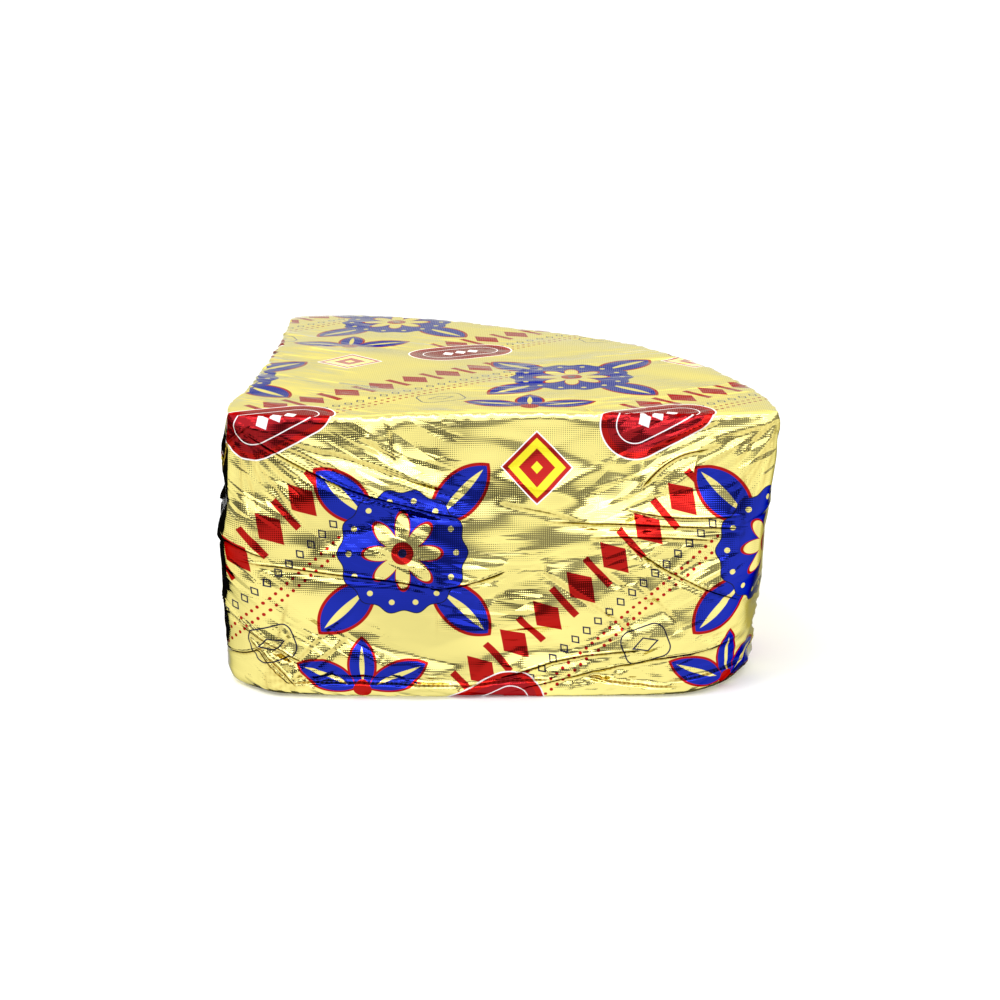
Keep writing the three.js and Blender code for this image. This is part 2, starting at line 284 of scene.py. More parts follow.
def folds_shade(folds, along, z):
    """How deep each place lies in a fold, from 0 to 1: a bell over the groove of the deepest."""
    # this depth becomes painted shade: the material darkens the colour by it
    deepest = np.zeros(np.broadcast(along, z).shape)
    for start, end, bow, rise, reach, drop in folds:
        across, ends = beside_fold(start, end, bow, along, z)
        place = np.sign(reach - drop) * SHADE_PLACE
        deepest = np.maximum(deepest, min(rise, 1) * ends * bell(across + place, SHADE_WIDTH))
    return deepest


def random_creases(along, z, seed, count, box, angle, span, slant):
    """Adds up short sharp fold lines with random places in a box, lengths, slants and bends.

    Each is its bend times the distance to a slightly bowed line, faded out by a bell round its
    middle. The lines are level, turned by up to the slant.
    """
    draw = np.random.default_rng(seed)
    total = np.zeros(np.broadcast(along, z).shape)
    for _ in range(count):
        centre = draw.uniform(box[:2], box[2:])
        turn = draw.uniform(-slant, slant)
        size = span * draw.uniform(*CREASE_LENGTHS)
        bend = angle * draw.uniform(*CREASE_BENDS) * draw.choice((-1, 1), p=CREASE_SIGNS)
        bow = draw.uniform(-CREASE_BOW, CREASE_BOW) / size
        lengthwise = (along - centre[0]) * math.cos(turn) + (z - centre[1]) * math.sin(turn)
        across = (z - centre[1]) * math.cos(turn) - (along - centre[0]) * math.sin(turn)
        across = across - bow * lengthwise**2
        window = bell(lengthwise, size * CREASE_LONG) * bell(across, size * CREASE_WIDE)
        total += bend * (np.sqrt(across**2 + CREASE_ROUND**2) - size * CREASE_PEAK) * window
    return total


def slack_field(along, z, seed, depth):
    """Adds up long level waves of random length and slant, deeper where they are longer."""
    draw = np.random.default_rng(seed)
    total = np.zeros(np.broadcast(along, z).shape)
    for _ in range(SLACK_WAVES):
        long_way = draw.uniform(*SLACK_LENGTHS)
        high_way = draw.uniform(*SLACK_HEIGHTS)
        shift = draw.uniform(0, 2 * math.pi)
        side = draw.choice((-1, 1))
        phase = along / long_way * side + z / high_way
        total += depth * high_way / SLACK_HEIGHTS[1] * np.sin(2 * math.pi * phase + shift)
    return total / math.sqrt(SLACK_WAVES)


def corner_radius(corner, z):
    """Grows from the first value at the top to the second at the base."""
    top, base = corner
    return top + (base - top) * ease((FLARE_HEIGHT - z) / FLARE_HEIGHT)


def swell(side, along, z):
    """A swelling that rises from nothing at the top and keeps a share of itself at the base."""
    depth, at, before, beyond, base = side
    level = bell(along - at, np.where(along < at, before, beyond))
    above = ease((HEIGHT - z) / (HEIGHT - SWELL_HEIGHT))
    below = growing(base, z / SWELL_HEIGHT)
    return depth * level * np.where(z > SWELL_HEIGHT, above, below)


def slack_wave(along, z):
    """A slanted wave that dies away at the top and base."""
    depth, length, climb = SLACK
    return depth * wave(along + z * length / climb, length) * wave(z, 2 * HEIGHT)


def left_edge_shift(y):
    """The left side stands out by the tip and runs in a little behind it."""
    out, at, spread, hollow, start = LEFT_EDGE
    behind = np.clip((y - start) / (RADIUS - start), 0, 1)
    return out * bell(y - at, spread) - hollow * wave(behind, 2)


def rim_wave(along):
    """The rind side is even by the front corner, and runs in and out beyond it."""
    depth, length, crest, start = RIM_WAVE
    growth = ease((along - start) / (crest - start))
    return depth * growth * wave(along - crest + length / 4, length)


def crumple(along, z):
    """Slack waves with long and short creases over the wall, and puckers at its top and base."""
    rise = slack_field(along, z, *WALL_SLACK)
    for creases in CREASES:
        rise += random_creases(along, z, *creases)
    calm = growing(BASE_SHARE, z / EDGE_REACH) * growing(TOP_SHARE, (HEIGHT - z) / EDGE_REACH)
    return (rise + folds_rise(SHEET_FOLDS, along, z)) * calm


def front_relief(along, z):
    """How far the front side stands out from the plain quarter round, without its folds."""
    return swell(FRONT_SWELL, along, z) + slack_wave(along, z) * FRONT_SLACK


def left_relief(along, z):
    """How far the left side stands out."""
    return left_edge_shift(along) + swell(LEFT_SWELL, along, z) + slack_wave(-along, z)


def rim_relief(along, z):
    """How far the rind side stands out."""
    lean, spread = RIM_LEAN
    shift = rim_wave(along) - lean * bell(along, spread) * (1 - z / HEIGHT)
    return shift + swell(RIM_SWELL, along, z) + slack_wave(along, z)


def top_height(x, y):
    """The height of the slack top over a place in plan."""
    depth, length, shift = TOP_WAVE
    back_depth, length_x, length_y, gather = BACK_WAVE
    front = wave(x - shift, length) * wave(length / 2 - y, 2 * length)
    back = wave(x + y * length_x / length_y, length_x)
    towards_rim = (np.hypot(x, y) / RADIUS) ** gather
    return HEIGHT + depth * front + back_depth * back * towards_rim


# --- The wrap's surface ---

COLUMNS = {"front": 330, "corner": 13, "rim": 130, "left": 80}
ROWS = {"base_edge": 5, "wall": 130, "top_edge": 5, "top": 24, "base": 4}
HUB = (RADIUS * 0.42, RADIUS * 0.42)
FRONT_END = COLUMNS["front"] + COLUMNS["corner"]  # the column where the rind side starts
SEAM = FRONT_END + COLUMNS["rim"] + COLUMNS["corner"]  # and where the sheet's ends meet

# The bake map: the sides side by side in a square, each moved from its place on the sheet
BAKE_SQUARE = 340
BAKE_MOVES = {
    "front": (2, 246), "rim": (-148, 160), "left": (325, 246), "top": (5, 5), "base": (167, 157)
}


def outline(z):
    """The plain outline at each height of a column of heights.

    Straight sides, an arc and three rounded corners, as arrays of one row for each height and one
    column for each place round the outline. Gives the places, the outward directions, and the
    share of each side's relief.
    """
    tip, front, back = (corner_radius(c, z) for c in (TIP_CORNER, FRONT_CORNER, BACK_CORNER))
    front_end = np.sqrt((RADIUS - front) ** 2 - front**2)
    back_end = np.sqrt((RADIUS - back) ** 2 - back**2)
    rim_start = np.arcsin(front / (RADIUS - front))
    rim_end = QUARTER_TURN - np.arcsin(back / (RADIUS - back))
    steps = {name: np.arange(count) / count for name, count in COLUMNS.items()}

    def line(start, end, direction, side):
        part = steps[side]
        x = start[0] + (end[0] - start[0]) * part
        y = start[1] + (end[1] - start[1]) * part
        out = np.broadcast_to(direction, (*x.shape, 2))
        return x, y, out[..., 0], out[..., 1], {side: np.ones_like(x)}

    def turn(centre, radius, start, end, before, after, flatness):
        part = steps["corner"]
        angle = start + (end - start) * part + 0 * radius
        out_x, out_y = np.cos(angle), np.sin(angle)
        share = np.broadcast_to(np.sin(part * QUARTER_TURN) ** 2, out_x.shape)
        half = (end - start) * CORNER_FACET / 2
        chord = np.cos(half) / np.cos(np.clip(np.abs(part - 0.5) * (end - start), 0, half))
        flat = radius * (1 + (chord - 1) * flatness)
        x, y = centre[0] + flat * out_x, centre[1] + flat * out_y
        return x, y, out_x, out_y, {before: 1 - share, after: share}

    angle = rim_start + (rim_end - rim_start) * steps["rim"]
    x, y = np.cos(angle), np.sin(angle)
    arc = (RADIUS * x, RADIUS * y, x, y, {"rim": np.ones_like(angle)})
    none = np.zeros_like(z)
    parts = (
        line((tip, none), (front_end, none), (0, -1), "front"),
        turn((front_end, front), front, -QUARTER_TURN, rim_start, "front", "rim", RIM_FLATNESS),
        arc,
        turn((back, back_end), back, rim_end, math.pi, "rim", "left", RIM_FLATNESS),
        line((none, back_end), (none, tip), (-1, 0), "left"),
        turn((tip, tip), tip, math.pi, math.pi + QUARTER_TURN, "left", "front", TIP_FLATNESS),
    )
    x, y, out_x, out_y = (np.concatenate([p[i] for p in parts], axis=1) for i in range(4))
    shares = {
        side: np.concatenate([p[4].get(side, np.zeros_like(p[0])) for p in parts], axis=1)
        for side in ("front", "rim", "left")
    }
    return x, y, out_x, out_y, shares


def wall_heights():
    """Heights and edge insets of the wall's rows: a rounded base edge, the wall, a rounded top."""
    base = np.arange(ROWS["base_edge"]) / ROWS["base_edge"] * QUARTER_TURN
    wall = np.arange(ROWS["wall"]) / ROWS["wall"]
    top = np.arange(ROWS["top_edge"] + 1) / ROWS["top_edge"] * QUARTER_TURN
    wall_height = HEIGHT - TOP_EDGE - BASE_EDGE_HEIGHT
    z = np.concatenate([
        BASE_EDGE_HEIGHT * (1 - np.cos(base)),
        BASE_EDGE_HEIGHT + wall * wall_height,
        HEIGHT - TOP_EDGE * (1 - np.sin(top)),
    ])
    none = np.zeros_like(wall)
    top_inset = np.concatenate([0 * base, none, TOP_EDGE * (1 - np.cos(top))])
    base_turn = np.concatenate([1 - np.sin(base), none, 0 * top])
    return z[:, None], top_inset[:, None], base_turn[:, None]


def edge_unevenness(along):
    """How much wider or narrower than its mean the rounding of the top edge is, about 1."""
    return 1 + EDGE_CHANGE * sum(wave(along + shift, length) for length, shift in EDGE_WAVES)


def corner_share(x, y):
    """0 on a side, rising to 1 at an upright corner."""
    corners = ((0, 0), (RADIUS, 0), (0, RADIUS))
    total = sum(bell(np.hypot(x - at_x, y - at_y), CORNER_REACH) for at_x, at_y in corners)
    return np.clip(total, 0, 1)


def wall_surface():
    """The wall's places and its sheet coordinates, as arrays of rows by columns.

    A place is the plain outline moved outward by its sides' relief less the edges' insets. The
    sheet's first coordinate is the length round the outline, counted from the tip.
    """
    z, top_inset, base_turn = wall_heights()
    x, y, out_x, out_y, shares = outline(z)
    step = np.hypot(np.roll(x, -1, axis=1) - x, np.roll(y, -1, axis=1) - y)
    length = np.concatenate([np.zeros_like(z), np.cumsum(step, axis=1)], axis=1)
    forward = corner_radius(TIP_CORNER, z) + length
    backward = forward - length[:, -1:]
    along = np.where(np.arange(x.shape[1]) < SEAM, forward[:, :-1], backward[:, :-1])
    ends = (forward[:, SEAM, None], backward[:, SEAM, None])
    from_seam = ease(np.minimum(*(np.abs(along - end) for end in ends)) / SEAM_REACH)

    reliefs = {
        "front": (front_relief, FRONT_FOLDS, x),
        "left": (left_relief, LEFT_FOLDS, y),
        "rim": (rim_relief, RIM_FOLDS, RADIUS * np.arctan2(y, x)),
    }
    corner = corner_share(x, y)
    stand = -top_inset * edge_unevenness(along) * (1 - CORNER_SHARPER * corner)
    stand = stand - (BASE_EDGE_INSET + BASE_CORNER_INSET * corner) * base_turn
    calm = 1 - CORNER_CALM * corner
    stand = stand + crumple(along, z) * from_seam * calm
    shade = folds_shade(SHEET_FOLDS, along, z) * from_seam
    for side, (relief, folds, place) in reliefs.items():
        creases = folds_rise(folds, place, z)
        stand = stand + shares[side] * (relief(place, z) + creases * calm)
        shade = np.maximum(shade, shares[side] * folds_shade(folds, place, z))
    place_x, place_y = x + out_x * stand, y + out_y * stand
    place_z = z * top_height(place_x, place_y) / HEIGHT
    return np.stack([place_x, place_y, place_z], -1), shade, forward, backward, z


def cap_rings(edge, count, height):
    """Rings that shrink from an edge towards the hub, at the height given over each place."""
    scale = 1 - np.arange(1, count)[:, None, None] / count
    hub = np.array(HUB)
    plan = hub + (edge[None, :, :2] - hub) * scale
    return np.concatenate([plan, height(plan[..., 0], plan[..., 1])[..., None]], -1)


def top_relief(x, y):
    """Low creases and slack on the top, and puckers along its edges."""
    inner = np.minimum(np.minimum(x, y), RADIUS - np.hypot(x, y))
    fine = slack_field(x, y * TOP_SQUEEZE, *TOP_SLACK)
    fine = fine + random_creases(x, y, *TOP_CREASES)
    fine = fine + random_creases(x, y, *TOP_PUCKERS) * bell(inner, PUCKER_REACH)
    return top_height(x, y) + fine * ease((inner + TOP_OUTER) / TOP_REACH)


def ring_quads(rows, columns, first=0):
    """Four corners for each cell of a closed band of rings."""
    row, column = np.meshgrid(np.arange(rows - 1), np.arange(columns), indexing="ij")
    low, after = row * columns + column, row * columns + (column + 1) % columns
    quads = np.stack([low, after, after + columns, low + columns], -1)
    return (quads + first).reshape(-1, 4)


def wrap_faces(rows, columns):
    """The quads of the wall, the top and the base, and the fans that close the last two."""
    top_first = (rows - 1) * columns
    base_first = top_first + ROWS["top"] * columns
    top_last = base_first - columns
    base_last = base_first + (ROWS["base"] - 2) * columns
    top_hub = base_last + columns
    around = np.arange(columns)
    after = (around + 1) % columns
    joined = np.stack([after, around, base_first + around, base_first + after], -1)
    base_rings = ring_quads(ROWS["base"] - 1, columns, base_first)[:, ::-1]
    top_fan = np.stack([top_last + around, top_last + after, np.full(columns, top_hub)], -1)
    base_fan = np.stack([base_last + after, base_last + around, np.full(columns, top_hub + 1)], -1)
    top = ring_quads(ROWS["top"], columns, top_first)
    return ring_quads(rows, columns), top, np.concatenate([joined, base_rings]), top_fan, base_fan


def wall_sheet(forward, backward, z):
    """The sheet coordinates of each corner of the wall's quads, and the number of its side."""
    columns = forward.shape[1] - 1
    cell = np.arange((len(z) - 1) * columns)
    column, row = cell % columns, cell // columns
    corners = np.stack([column, column + 1, column + 1, column], -1)
    levels = np.stack([row, row, row + 1, row + 1], -1)
    u = np.where(column[:, None] < SEAM, forward[levels, corners], backward[levels, corners])
    v = np.broadcast_to(z, forward.shape)[levels, corners]
    return np.stack([u, v], -1), np.searchsorted((FRONT_END, SEAM), column, side="right")


def wrap_mesh():
    """The foil wrap as one closed mesh with its sheet coordinates and its bake map."""
    wall, shade, forward, backward, z = wall_surface()
    top = cap_rings(wall[-1], ROWS["top"], top_relief)
    base = cap_rings(wall[0], ROWS["base"], lambda x, y: np.zeros_like(x))
    hubs = np.array([(*HUB, float(top_relief(*np.array(HUB)))), (*HUB, 0)])
    places = np.concatenate([wall.reshape(-1, 3), top.reshape(-1, 3), base.reshape(-1, 3), hubs])
    places[:, :2] -= MIDDLE

    mesh = bpy.data.meshes.new(PIECE)
    wall_quads, top_quads, base_quads, top_fan, base_fan = wrap_faces(*wall.shape[:2])
    quads = np.concatenate([wall_quads, top_quads, base_quads])
    fans = np.concatenate([top_fan, base_fan])
    mesh.from_pydata((places * MM).tolist(), [], quads.tolist() + fans.tolist())
    mesh.polygons.foreach_set("use_smooth", np.ones(len(mesh.polygons), bool))
    # how much painted shade each place gets in the folds
    painted_fold_shade = mesh.attributes.new(FOLD_SHADE, "FLOAT", "POINT")
    painted_fold_shade.data.foreach_set("value", np.append(shade.ravel(), np.zeros(len(places) - shade.size)))

    def add_map(name, scale, wall_map, top_map, base_map):
        corners = [wall_map.reshape(-1, 2), top_map[top_quads.ravel()], base_map[base_quads.ravel()]]
        corners += [top_map[top_fan.ravel()], base_map[base_fan.ravel()]]
        layer = mesh.uv_layers.new(name=name)
        layer.data.foreach_set("uv", (np.concatenate(corners) * scale).ravel())

    # On the sheet the wall's coordinates are its length round and its height, and the top's and
    # base's run on from the front side's upper and lower edges. The bake map moves the sides apart.
    on_wall, side = wall_sheet(forward, backward, z)
    plan = places[:, :2] + MIDDLE
    below = plan * (1, -1)
    add_map(SHEET_MAP, MM, on_wall, plan + (0, HEIGHT), below)
    moves = np.array([BAKE_MOVES[name] for name in ("front", "rim", "left")])
    bake = (on_wall + moves[side][:, None], plan + BAKE_MOVES["top"], below + BAKE_MOVES["base"])
    add_map("OFBake", 1 / BAKE_SQUARE, *bake)
    mesh.update()
    return mesh


# --- Material: a small language for fields on the sheet, in millimetres ---

INK_EDGE = 0.12  # the width over which an ink's edge fades
# How much of a metal each ink is, because the foil shines through it
INK_METAL = {
    "gold": 1.0, "blue": 1.0, "red": 1.0, "crimson": 1.0, "navy": 0.8, "yellow": 0.2, "white": 0.0
}
REPEAT_U, REPEAT_V = 104, 86  # the print's repeat along the sheet and across it
ROW_SHIFT = 47  # how far each row is moved along from the one below

# The motifs' half lengths and half widths, turns in degrees and edges
ROSETTE_LEAF, ROSETTE_LEAF_AT, ROSETTE_LEAF_TURN, ROSETTE_LEAF_EDGE = (11.5, 6.2), 22.5, 45, 0.9
ROSETTE_VEIN, ROSETTE_VEIN_AT = (8, 1.1), 23.5
SCALLOPS, SCALLOP_RISE, SCALLOP_EDGE, ROSETTE_RADIUS = 14, 0.6, 0.3, 17.6
DOT_RING, DOT_RADIUS = 14.8, 0.8
PETALS, PETAL_LENGTH, PETAL_EDGE, STAR_RADIUS = 8, 6.2, 0.9, 5.2
HEART_RADIUS, HEART_EDGE = 3.1, 1.9
LABEL_TURN = 28
LABEL_LAYERS = (((16.8, 9.5, 9.4), "white"), ((16.4, 9.1, 9), "red"), ((14.7, 7.4, 7.3), "crimson"))
LABEL_LINE, LABEL_LINE_WIDTH = (12.2, 4.9, 4.8), 0.15
LABEL_DIAMOND, LABEL_STEP, LABEL_ROW = (1.9, 2.2), 2.1, 6.2
# half width, ink and how much of a metal it is
BADGE_LAYERS = (
    (10, "white", 0.0), (9.5, "red", 0.6), (7.9, "yellow", 0.2), (5, "red", 0.6), (1.6, "yellow", 0.2)
)
BORDER_TURN, BORDER_LENGTH = 42, 46
BORDER_DIAMOND, BORDER_BAR, BORDER_STEP = (4, 6), (1, 5.2), 6.2
SMALL_DIAMOND, SMALL_STEP, SMALL_AT, SMALL_END = (1.5, 1.9), 2.1, (1, -10.7), 4
BORDER_DOT, BORDER_DOT_STEP, DOT_ROWS_AT, DOT_ROWS_GAP, DOT_ROWS_END = 0.5, 1.1, -15.8, 1.3, 8
SPRIG_TURN, SPRIG_EDGE, SPRIG_HEART = 22, 0.7, 2.6
SIDE_LEAF, SIDE_LEAF_AT, SIDE_VEIN, SIDE_VEIN_AT = (9.5, 4.4), 10.5, (6.5, 0.7), 11
TALL_LEAF, TALL_LEAF_AT, TALL_VEIN = (8.5, 4.2), 7, (5.5, 0.7)
RING_TURN, RING_BOX, RING_DIAMOND = 20, (6.4, 5, 3), (3.6, 2)
LINE_WIDTH, LINE_INSET = 0.2, 0.3  # half the width of a thin line, and how far in from the edge

# size, slant in degrees, lean along and across the sheet, and the share of them that lean
FACETS = (
    ((30, 9), -5, (0.060, 0.110), 1),
    ((12, 3), 9, (0.060, 0.090), 1),
    ((9, 1), -4, (0.080, 0.420), 0.4),
)
GRAIN_BEND, GRAIN_LENGTH, GRAIN_LOW = 21, 240, 72  # the wave that the facets lie along
TOP_CALM, TOP_FADE = 0.2, 0.4  # how much of their lean they have on the top, and how soon
FOOT_HEIGHT, FOOT_LEAN, FOOT_FADE = 11, 0.7, 0.15  # below this height they all lean by this share
# noises, with their scale for a metre, detail and stretch
PATCHES, PATCH_CONTRAST, PATCH_START = (30, 0, (1, 1.6)), 4, 1.6  # where the facets lean
COCKLE = (260, 1, (0.6, 1))
ROUGHNESS, ROUGH_CHANGE, ROUGH_LEAST = (45, 4, (1, 1)), 0.05, 0.02
DOT_DEPTH = 0.9
# painted shade in the folds: how much it changes along its dashes, its mean, and the share that the fold
# attribute gives
DASH_CHANGE, DASH_MEAN = 0.2, 0.85
FOLD_SHARE = 0.6
SPECULAR_TINT = (0.36, 0.37, 0.37)


def feed(slot, value):
    """Links a field or a socket to an input, or sets the input to a plain value."""
    if isinstance(value, Field):
        value = value.socket
    if isinstance(value, bpy.types.NodeSocket):
        slot.id_data.links.new(value, slot)
    else:
        slot.default_value = value


def add_node(tree, kind, inputs=None, **settings):
    """A new shader node with its settings, and with its inputs fed by place or by name."""
    node = tree.nodes.new("ShaderNode" + kind)
    for name, value in settings.items():
        setattr(node, name, value)
    for key, value in (inputs or {}).items():
        feed(node.inputs[key], value)
    return node


def new_material(name, kind, inputs=None):
    """A material with one shader. Gives the material, its node tree and the shader."""
    material = bpy.data.materials.new(name)
    material.use_nodes = True
    tree = material.node_tree
    tree.nodes.clear()
    shader = add_node(tree, kind, inputs)
    add_node(tree, "OutputMaterial", {"Surface": shader.outputs[0]})
    return material, tree, shader


class Field:
    """A number that varies over the foil, held by a socket of a node tree."""

    def __init__(self, tree, socket):
        self.tree = tree
        self.socket = socket

    def math(self, operation, *others):
        """One Math node on this field and the others."""
        node = add_node(self.tree, "Math", dict(enumerate((self, *others))), operation=operation)
        return Field(self.tree, node.outputs[0])

    def __add__(self, other):
        return self.math("ADD", other)

    def __sub__(self, other):
        return self.math("SUBTRACT", other)

    def __rsub__(self, other):
        return (self * -1).math("ADD", other)

    def __mul__(self, other):
        return self.math("MULTIPLY", other)

    def __truediv__(self, other):
        return self.math("DIVIDE", other)

    __radd__ = __add__
    __rmul__ = __mul__

    def plus(self, factor, other):
        """The field times a factor, with another added, in one node."""
        return self.math("MULTIPLY_ADD", factor, other)

    def clamped(self):
        """Kept from 0 to 1."""
        self.socket.node.use_clamp = True
        return self

    def abs(self):
        return self.math("ABSOLUTE")

    def least(self, other):
        return self.math("MINIMUM", other)

    def most(self, other):
        return self.math("MAXIMUM", other)

    def between(self, low, high):
        """0 below one value, 1 above another and even between them."""
        return ((self - low) / (high - low)).most(0.0).least(1.0)

    def wrapped(self, half):
        """Repeats from -half to half."""
        return self.math("WRAP", half, -half)

    def cell(self, length):
        """The number of the repeat this place lies in."""
        return ((self + length / 2) / length).math("FLOOR")


def inside(depth):
    """1 where a depth is above 0, fading over the ink's edge."""
    return (depth / INK_EDGE + 0.5).math("MINIMUM", 1.0).math("MAXIMUM", 0.0)


def turned(a, b, degrees):
    """The two coordinates turned about the origin."""
    c, s = math.cos(math.radians(degrees)), math.sin(math.radians(degrees))
    return a * c + b * s, b * c - a * s


def length_of(a, b):
    return (a * a + b * b).math("SQRT")


def disc(a, b, radius):
    """Depth inside a disc."""
    return radius - length_of(a, b)


def leaf(a, b, half_length, half_width):
    """Depth inside a pointed leaf along the first coordinate: two discs that overlap."""
    offset = (half_length**2 - half_width**2) / (2 * half_width)
    radius = offset + half_width
    return (radius - length_of(a, b + offset)).least(radius - length_of(a, b - offset))


def lozenge(a, b, half_length, half_width):
    """Depth inside a diamond."""
    slope = half_width / half_length
    return (half_width - a.abs() * slope - b.abs()) * (1 / math.hypot(1, slope))


def box(a, b, half_length, half_width, round_by):
    """Depth inside a box with rounded corners."""
    da = (a.abs() - (half_length - round_by)).most(0.0)
    db = (b.abs() - (half_width - round_by)).most(0.0)
    return round_by - length_of(da, db)


class Print:
    """Inks laid one over another on the bare foil: a colour and how much of a metal it is."""

    def __init__(self, tree, colours):
        self.tree = tree
        self.colours = colours
        self.colour = (*colours.gold, 1)
        self.metal = INK_METAL["gold"]

    def lay(self, depth, ink, metal=None):
        """Lays an ink where the depth is above 0."""
        mask = inside(depth)
        inputs = {"Factor": mask, "A": self.colour, "B": (*getattr(self.colours, ink), 1)}
        self.colour = add_node(self.tree, "Mix", inputs, data_type="RGBA").outputs["Result"]
        metal = INK_METAL[ink] if metal is None else metal
        self.metal = self.metal + (metal - self.metal) * mask

    def lay_each(self, depth, layers):
        """Lays inks in the same shape, each further in from its edge by the inset given."""
        for inset, ink in layers:
            self.lay(depth - inset, ink)


def print_rosette(ink, a, b):
    """A scalloped blue disc with a gold star in it, and four blue leaves round it."""
    leaf_a, leaf_b = turned(a.abs(), b.abs(), ROSETTE_LEAF_TURN)
    leaves = leaf(leaf_a - ROSETTE_LEAF_AT, leaf_b, *ROSETTE_LEAF)
    ink.lay_each(leaves, ((0, "red"), (ROSETTE_LEAF_EDGE, "blue")))
    ink.lay(leaf(leaf_a - ROSETTE_VEIN_AT, leaf_b, *ROSETTE_VEIN), "gold")
    far = length_of(a, b)
    angle = b.math("ARCTAN2", a)
    edge = (angle * SCALLOPS).math("COSINE") * SCALLOP_RISE + ROSETTE_RADIUS - far
    ink.lay_each(edge, ((0, "navy"), (SCALLOP_EDGE, "blue")))
    spread = angle.wrapped(math.pi / SCALLOPS) * DOT_RING
    ink.lay(disc(spread, far - DOT_RING, DOT_RADIUS), "gold")
    star = (angle * (PETALS / 2)).math("COSINE").abs() * PETAL_LENGTH + STAR_RADIUS - far
    ink.lay_each(star, ((0, "red"), (PETAL_EDGE, "gold")))
    ink.lay_each(disc(a, b, HEART_RADIUS), ((0, "red"), (HEART_EDGE, "navy")))


def print_label(ink, a, b):
    """A crimson pill with a white and a red edge, and three white diamonds in a thin white line."""
    a, b = turned(a, b, LABEL_TURN)
    for size, name in LABEL_LAYERS:
        ink.lay(box(a, b, *size), name)
    ink.lay(LABEL_LINE_WIDTH - box(a, b, *LABEL_LINE).abs(), "white")
    row = lozenge(a.wrapped(LABEL_STEP), b, *LABEL_DIAMOND)
    ink.lay(row.least(LABEL_ROW - a.abs()), "white")


def print_badge(ink, a, b):
    """A yellow diamond in a red one, with a small red one in its middle."""
    for size, name, metal in BADGE_LAYERS:
        ink.lay(lozenge(a, b, size, size), name, metal)


def print_border(ink, a, b):
    """A slanted row of bold red diamonds and bars, with small diamonds and dots beside it."""
    a, b = turned(a, b, BORDER_TURN)
    ends = BORDER_LENGTH - a.abs()
    bold = lozenge(a.wrapped(BORDER_STEP), b, *BORDER_DIAMOND)
    width, height = BORDER_BAR
    bars = (width - (a - BORDER_STEP).wrapped(BORDER_STEP).abs()).least(height - b.abs())
    ink.lay(bold.most(bars).least(ends), "red")
    small = lozenge((a - SMALL_AT[0]).wrapped(SMALL_STEP), b - SMALL_AT[1], *SMALL_DIAMOND)
    ink.lay((LINE_WIDTH - (small - LINE_INSET).abs()).least(ends - SMALL_END), "navy")
    dots = disc(a.wrapped(BORDER_DOT_STEP), (b - DOT_ROWS_AT).abs() - DOT_ROWS_GAP, BORDER_DOT)
    ink.lay(dots.least(ends - DOT_ROWS_END), "red")


def print_sprig(ink, a, b):
    """Three blue leaves that spread from a red dot, each with a red edge and a gold vein."""
    side_a, side_b = turned(a.abs(), b, SPRIG_TURN)
    tall_a, tall_b = b - TALL_LEAF_AT, a
    leaves = leaf(side_a - SIDE_LEAF_AT, side_b, *SIDE_LEAF).most(leaf(tall_a, tall_b, *TALL_LEAF))
    ink.lay_each(leaves, ((0, "red"), (SPRIG_EDGE, "blue")))
    veins = leaf(side_a - SIDE_VEIN_AT, side_b, *SIDE_VEIN).most(leaf(tall_a, tall_b, *TALL_VEIN))
    ink.lay(veins, "gold")
    ink.lay(disc(a, b, SPRIG_HEART), "red")


def print_ring(ink, a, b):
    """The outline of a small square with rounded corners, with a thin diamond in it."""
    a, b = turned(a, b, RING_TURN)
    for shape in (box(a, b, *RING_BOX), lozenge(a, b, *RING_DIAMOND)):
        ink.lay(LINE_WIDTH - shape.abs(), "navy")


PRINT = (  # each motif with its place in the repeat
    (print_border, 96, 33),
    (print_rosette, 47, 43),
    (print_badge, 84, 66),
    (print_sprig, 35, 3),
    (print_label, 13, 81.5),
    (print_ring, 10, 16),
)


def bare_noise(tree, place, scale, detail, stretch):
    """A noise over the sheet, stretched along each direction."""
    mapping = add_node(tree, "Mapping", {"Vector": place, "Scale": (*stretch, 1)})
    inputs = {"Vector": mapping.outputs[0], "Scale": scale, "Detail": detail}
    return Field(tree, add_node(tree, "TexNoise", inputs).outputs["Fac"])


def facets(tree, u, v, size, slant, share):
    """The slopes, from -1 to 1, of flat facets that each lean their own way and meet sharply.

    The facets are the cells round random points on the sheet, drawn out along a slant, and a
    share of them lean.
    """
    along, across = turned(u, v, slant)
    place = add_node(tree, "CombineXYZ", {0: along / size[0], 1: across / size[1]}).outputs[0]
    cells = add_node(tree, "TexVoronoi", {"Scale": 1, "Vector": place}, voronoi_dimensions="2D")
    lean = add_node(tree, "SeparateColor", {0: cells.outputs["Color"]})
    slopes = tuple(Field(tree, lean.outputs[i]).plus(2.0, -1.0) for i in (0, 1))
    if share == 1:
        return slopes
    leans = Field(tree, lean.outputs[2]).math("LESS_THAN", share)
    return tuple(slope * leans for slope in slopes)


def reach_along(u, v, start, way, unit):
    """How far each place lies from a start along a direction, in the unit given."""
    from_start = v.plus(way[1] / unit, -(start[0] * way[0] + start[1] * way[1]) / unit)
    return u.plus(way[0] / unit, from_start)


